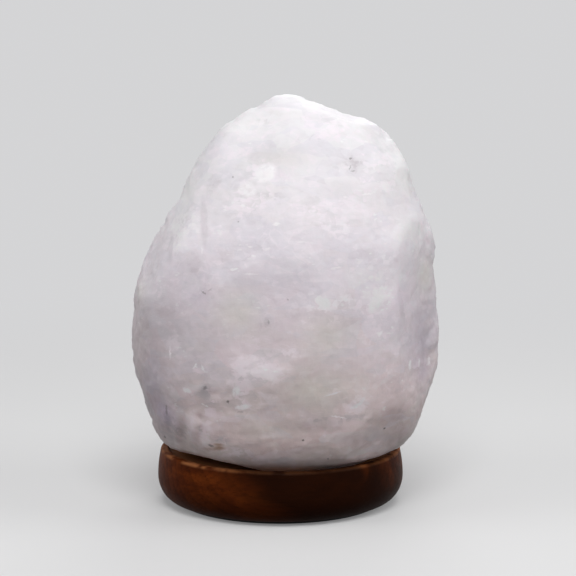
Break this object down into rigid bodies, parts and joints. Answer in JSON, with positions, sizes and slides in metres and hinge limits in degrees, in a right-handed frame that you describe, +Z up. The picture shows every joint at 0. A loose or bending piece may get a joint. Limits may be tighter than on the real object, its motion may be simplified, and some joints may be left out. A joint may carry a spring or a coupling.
{
  "type": "salt crystal lamp",
  "caption": "Rough-hewn white salt crystal, hollowed for a small screw-cap bulb, on a turned wooden base with a push-in sprung lamp holder.",
  "frame": {"origin": "on the table, under the middle of the wooden base, in the plane of the felt ring's underside", "axes": "+Z up along the bore of the base, -Y towards the viewer of the picture, +X to the viewer's right"},
  "size_m": [0.1228, 0.1101, 0.1637],
  "materials": {
    "salt": "rough, cloudy white halite",
    "wood": "red-brown stain under satin lacquer",
    "felt": "felt",
    "screw_steel": "zinc-plated",
    "plug_nylon": "moulded nylon",
    "holder_black": "moulded phenolic",
    "insert_ceramic": "steatite",
    "sleeve_brass": "pressed brass",
    "clip_steel": "nickel-plated spring steel",
    "clear_glass": "clear",
    "cap_aluminium": "rolled sheet",
    "black_glass": "opaque black glass",
    "solder": "solder",
    "lead_nickel": "nickel wire",
    "tungsten": "coiled tungsten"
  },
  "bodies": {
    "lamp_holder": {"holder_cap": "holder_black", "holder_shell": "holder_black", "holder_insert": "insert_ceramic", "threaded_sleeve": "sleeve_brass", "centre_contact": "sleeve_brass", "terminal_blocks": "sleeve_brass", "terminal_screws": "screw_steel", "spring_clip": "clip_steel", "cord_gland": "plug_nylon", "gland_screw": "screw_steel"},
    "lamp_body": {"salt_crystal": "salt", "wooden_base": "wood", "felt_ring": "felt", "fixing_screws": "screw_steel", "wall_plugs": "plug_nylon"},
    "bulb_tip": {"bulb_insulator": "black_glass", "bulb_contact": "solder"},
    "bulb": {"bulb_cap": "cap_aluminium", "bulb_glass": "clear_glass", "bulb_stem": "clear_glass", "lead_wires": "lead_nickel", "support_wires": "lead_nickel", "filament": "tungsten"}
  },
  "joints": [
    {"name": "lamp_lift", "type": "slide", "parent": "lamp_holder", "child": "lamp_body", "axis": [0, 0, 1], "range_m": [0, 0.11]},
    {"name": "bulb_rise", "type": "slide", "parent": "lamp_holder", "child": "bulb_tip", "axis": [0, 0, 1], "range_m": [0, 0.0115]},
    {"name": "bulb_turn", "type": "hinge", "parent": "bulb_tip", "child": "bulb", "pos_m": [0, 0, 0.05], "axis": [0, 0, 1], "range_deg": [0, 1440]}
  ],
  "couplings": [
    {"joint": "bulb_rise", "follows": "bulb_turn", "m_per_rad": 0.00044914}
  ]
}
